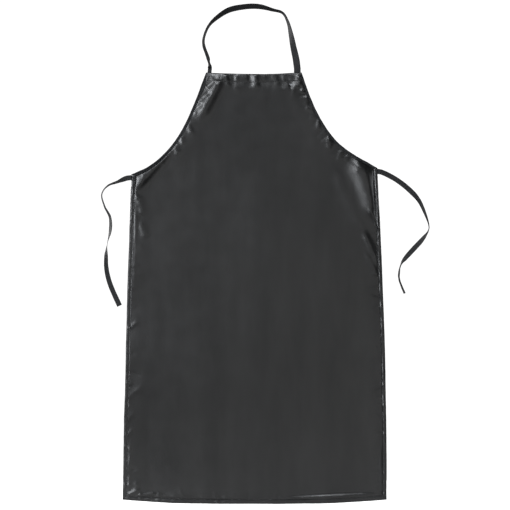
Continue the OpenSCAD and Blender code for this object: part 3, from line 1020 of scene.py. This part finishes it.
def matched(points, distance, square_to=None):
    """Pairs of points a set distance apart, and if given also square to each point's direction."""
    found, left = [], list(range(len(points)))
    while left:
        i = left.pop(0)
        step = points[left] - points[i]
        gap = np.abs(np.linalg.norm(step, axis=1) - distance)
        if square_to is not None:
            gap = gap + np.abs(step @ square_to[i])
        found.append((i, left.pop(int(gap.argmin()))))
    return np.array(found)


def in_order(centre, across, start):
    """Sections of a tape sorted by always going to the nearest one left, and turned the same way."""
    order, left = [], list(range(len(centre)))
    at = start
    while left:
        order.append(left.pop(int(np.linalg.norm(centre[left] - at, axis=1).argmin())))
        at = centre[order[-1]]
    centre, across = centre[order], across[order]
    for i in range(1, len(across)):
        if across[i] @ across[i - 1] < 0:
            across[i] = -across[i]
    return centre, across


class Tape:
    """The line of a tape, read back from the corners of the CAD tape's sections."""

    def __init__(self, node, ends, extra_roll=0, root_shift=0, pinch=0):
        self.pinch, self.two_ended = pinch, len(ends) > 1
        low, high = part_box(ends[0])
        size = np.array(high - low)
        roots = [np.array(sum(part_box(end), Vector()) / 2) for end in ends]
        corners = np.unique(np.round(node_points(node), 6), axis=0)
        self.t = high.y - low.y
        self.tail_length = float(max(size[0], size[2]))
        self.out = self.way_out(corners.mean(0) - roots[0], size)
        self.w = float(size[2] if self.out[0] else size[0])
        centre, across = in_order(*self.sections(corners), roots[0])
        half = self.out * self.tail_length / 2
        tails = [np.array([root - half, root - half / 3, root + half / 3]) for root in roots]
        centre = np.vstack([tails[0], centre] + [tail[::-1] for tail in tails[1:]])
        across = np.vstack([across[:1]] * 3 + [across] + [across[-1:]] * 3 * self.two_ended)
        both = smooth_line(np.hstack([centre, across * 10 * MM]), TAPE_STEP)
        self.centre = both[:, :3]
        self.run = run_along(self.centre)
        self.settle()
        self.centre[:, 0] += root_shift * fade(self.run, 0, 75 * MM)
        along = np.gradient(self.centre, self.run, axis=0)
        self.along = along / np.linalg.norm(along, axis=1)[:, None]
        across = both[:, 3:] - self.along * (both[:, 3:] * self.along).sum(1, keepdims=True)
        self.across = across / np.linalg.norm(across, axis=1)[:, None]
        self.normal = np.cross(self.across, self.along)
        if self.normal[0, 1] > 0:
            self.across, self.normal = -self.across, -self.normal
        if extra_roll:
            self.turn(extra_roll)

    def way_out(self, ahead, size):
        """The direction, along x or z, in which the tape leaves the panel: its end is longer that way."""
        axis = 0 if size[0] > size[2] else 2
        return np.eye(3)[axis] * np.sign(ahead[axis])

    def sections(self, corners):
        """The middles of the CAD tape's cross sections, and the directions across the tape there."""
        faces = matched(corners, self.t)
        sides = corners[faces].mean(1)
        through = (corners[faces[:, 1]] - corners[faces[:, 0]]) / self.t
        halves = matched(sides, self.w, through)
        return sides[halves].mean(1), (sides[halves[:, 1]] - sides[halves[:, 0]]) / self.w

    def settle(self):
        """Moves each root to how the panel lies there."""
        ends = [(0, self.run)] + [(-1, self.run[-1] - self.run)] * self.two_ended
        moves = [lie(self.centre[[i]][:, [0, 2]]) * fade(past, 0, 80 * MM) for i, past in ends]
        self.centre[:, 1] -= sum(moves)

    def turn(self, angle):
        """Rolls the tape further on edge past its first bend, and settles it on its lower edge."""
        start = self.tail_length + 4 * MM
        roll = np.radians(angle) * rise(self.run, start, 10 * MM) * fade(self.run, start + 10 * MM, 18 * MM)
        before = np.abs(self.across[:, 1])
        c, s = np.cos(roll)[:, None], np.sin(roll)[:, None]
        if self.across[np.searchsorted(self.run, start + 20 * MM), 1] >= 0:
            s = -s
        self.across, self.normal = c * self.across + s * self.normal, c * self.normal - s * self.across
        self.centre[:, 1] -= self.w / 2 * (np.abs(self.across[:, 1]) - before)

    def half_width(self, s):
        """Half the tape's width at lengths s: a pinched root is gathered where it leaves the hem."""
        past = s - self.tail_length
        gathered = rise(past, -14 * MM, 10 * MM) * fade(past, 5 * MM, 11 * MM)
        return self.w / 2 * (1 - self.pinch * gathered)

    def at(self, s):
        """Centre, along, across and normal at lengths s."""
        fields = (self.centre, self.along, self.across, self.normal)
        return [columns_at(s, self.run, field) for field in fields]


# share of a tape's half width: share of its half thickness there; it is pressed in under its sewing
THICKNESS = {1: 0.45, 0.9: 1.0, 0.78: 0.95, 0.64: 0.72, 0.42: 0.95, 0.2: 0.95, 0: 0.95}


def tape_ribbon(tape, name, seed):
    """A woven tape with thicker selvedges, pressed in along its sewing, very slightly uneven."""
    s = tape.run
    rows = len(s)
    half_w, half_t = tape.half_width(s), tape.t / 2
    half = list(THICKNESS.items())
    section = [(-a, b) for a, b in half] + half[-2::-1]
    ring = [(a, -b) for a, b in section] + section[::-1]
    cup = strip_waves(s, 0.0, 0.16, 0.03, seed, 9) * 0.5 * MM
    wide = 1 + 0.015 * strip_waves(s, 1.0, 0.06, 0.012, seed + 1, 12)
    free = rise(s, 25 * MM, 20 * MM)
    if tape.two_ended:
        free = free * rise(s[-1] - s, 25 * MM, 20 * MM)
    verts = np.zeros((rows, len(ring), 3))
    for k, (a, b) in enumerate(ring):
        puck = strip_waves(s, 6 * MM * a, 0.02, 0.006, seed + 2, 20)
        bow = cup * (1 - a * a) * free + puck * 0.12 * MM * free
        reach = (half_w * a * wide)[:, None] * tape.across
        verts[:, k] = tape.centre + reach + (half_t * b + bow)[:, None] * tape.normal
    return new_mesh(name, verts.reshape(-1, 3), loft_faces(rows, len(ring)), TAPE)


def tape_sewing(tape, name):
    """A row of stitches along each side of a tape, on both faces."""
    first = SEWN_IN + 4 * MM
    last = tape.run[-1] - (first if tape.two_ended else 3 * MM)
    s0 = np.arange(first, last - TAPE_PITCH, TAPE_PITCH)
    s1 = s0 + 0.74 * TAPE_PITCH
    parts = []
    for share in (-0.64, 0.64):
        for face in (-1, 1):
            points = []
            for s in (s0, s1):
                centre, _, across, normal = tape.at(s)
                beside = across * tape.half_width(s)[:, None] * share
                points.append(centre + beside + normal * face * 0.38 * tape.t)
            normals = tape.at(s0)[3] * face
            parts.append(stitches(*points, normals, THREAD_W * 0.9, THREAD_H))
    return new_mesh(name, *joined(parts), THREAD)


def strap(body, ends, seed, **shape):
    """A tape from inside the hem to its free end or its other root, following the CAD tape's line."""
    tape = Tape(body, ends, **shape)
    ribbon = tape_ribbon(tape, body + "_tape", seed)
    sewing = tape_sewing(tape, body + "_sewing")
    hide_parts(body, *ends)
    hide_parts(body + "_thread")
    for obj in (ribbon, sewing):
        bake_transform(obj)


# ---------- everything made

covers_and_core()
for e in edges:
    band(e, BINDING if e.name.startswith("arm") else BAND)
    sewn_row(e)
for where in ("neck", "waist"):
    for side in ("left", "right"):
        box_stitch(f"{where}_box_stitch_{side}")
NECK_ENDS = ["neck_strap_end_left", "neck_strap_end_right"]
strap("neck_strap", NECK_ENDS, 90, extra_roll=45, root_shift=-7 * MM, pinch=0.42)
strap("waist_tie_left", ["waist_tie_end_left"], 100)
strap("waist_tie_right", ["waist_tie_end_right"], 110)

# ---------- floor, light and camera

MIDDLE = (CAD_BOX[0] + CAD_BOX[1]) / 2
SIZE = CAD_BOX[1] - CAD_BOX[0]
WHITE_GLOW = 1.1  # just past white, as the photo's surroundings are


def floor():
    """A small pale floor. It glows a little, so that it stays as pale as the surroundings behind it."""
    wide, deep, below = 0.8, 0.36, 3 * MM
    z = CAD_BOX[0].z - below
    verts = [(x, y, z) for x, y in ((-wide, -deep), (wide, -deep), (wide, deep), (-wide, deep))]
    mat, tree, bsdf = node_material("pale_floor")
    colour = mixed(tree, noise(tree, place(tree), 3, 2), (0.54, 0.54, 0.54), (0.62, 0.62, 0.62))
    feed(tree, bsdf, {"Base Color": colour, "Roughness": 0.7})
    ray = add(tree, "ShaderNodeLightPath", {}).outputs
    mirrored = worked_out(tree, "MULTIPLY", ray["Is Glossy Ray"], 0.5)
    strength = worked_out(tree, "MULTIPLY_ADD", ray["Is Camera Ray"], WHITE_GLOW, mirrored)
    glow = add(tree, "ShaderNodeEmission", {"Strength": strength})
    both = add(tree, "ShaderNodeAddShader", {0: bsdf.outputs[0], 1: glow.outputs[0]})
    surface = next(n for n in tree.nodes if n.type == "OUTPUT_MATERIAL").inputs["Surface"]
    tree.links.new(both.outputs[0], surface)
    new_mesh("floor", verts, [(0, 1, 2, 3)], mat, False)


# softbox: where it is, with its height above the apron's middle; its width, its height, its power, its colour
WHITE, COOL = (1, 1, 1), (0.93, 0.96, 1.0)
SOFTBOXES = {
    "fill_left": ((-0.3, -3.9, -0.65), 0.8, 2.8, 4.7, WHITE),
    "fill_right": ((0.95, -3.9, -0.65), 1.7, 2.8, 15.6, WHITE),
    "key_left": ((-1.75, -2.75, 0.45), 0.55, 2.2, 92, COOL),
    "key_right": ((2.9, -1.5, 0.5), 0.4, 1.4, 14, COOL),
    "top": ((-0.3, -2.5, 2.15), 1.3, 0.45, 50, COOL),
    "back_fill": ((0, 3.9, 0.2), 2.8, 2.6, 14, WHITE),
    "back_left": ((-2.6, 1.1, 0.9), 0.5, 1.4, 95, WHITE),
    "back_right": ((2.3, 1.6, 0.5), 0.5, 1.4, 22, WHITE),
}


def softbox(name, offset, width, height, power, colour):
    """A rectangular light aimed at the apron's middle."""
    data = bpy.data.lights.new(name, "AREA")
    data.shape = "RECTANGLE"
    data.size, data.size_y = width, height
    data.energy = power
    data.color = colour
    obj = bpy.data.objects.new(name, data)
    obj.location = Vector(offset) + Vector((0, 0, MIDDLE.z))
    obj.rotation_euler = (MIDDLE - obj.location).to_track_quat("-Z", "Y").to_euler()
    obj.visible_camera = False
    bpy.context.scene.collection.objects.link(obj)


def studio():
    """White surroundings for the camera, softer light for everything else, and softboxes round the apron."""
    bpy.context.scene.view_settings.view_transform = "Standard"
    world = bpy.data.worlds.new("studio")
    bpy.context.scene.world = world
    world.use_nodes = True
    tree = world.node_tree
    tree.nodes.clear()
    seen = add(tree, "ShaderNodeBackground", {"Color": (1, 1, 1, 1), "Strength": WHITE_GLOW})
    lit = add(tree, "ShaderNodeBackground", {"Color": (0.96, 0.98, 1.0, 1), "Strength": 0.05})
    by_camera = add(tree, "ShaderNodeLightPath", {}).outputs["Is Camera Ray"]
    mix = add(tree, "ShaderNodeMixShader", {0: by_camera, 1: lit.outputs[0], 2: seen.outputs[0]})
    add(tree, "ShaderNodeOutputWorld", {0: mix.outputs[0]})
    for name, box in SOFTBOXES.items():
        softbox(name, *box)


def camera():
    """Straight on and level, as the photo is; the apron fills the square nearly to its edges."""
    data = bpy.data.cameras.new("camera")
    data.lens, data.sensor_width = 100, 36
    field = SIZE.z * 1.0212
    distance = field * data.lens / data.sensor_width
    obj = bpy.data.objects.new("camera", data)
    obj.location = (EDGE["bottom"].line[:, 0].mean() + 0.7 * MM, -distance, MIDDLE.z - 2.0 * MM)
    obj.rotation_euler = (math.pi / 2, 0, 0)
    bpy.context.scene.collection.objects.link(obj)
    bpy.context.scene.camera = obj


floor()
studio()
camera()
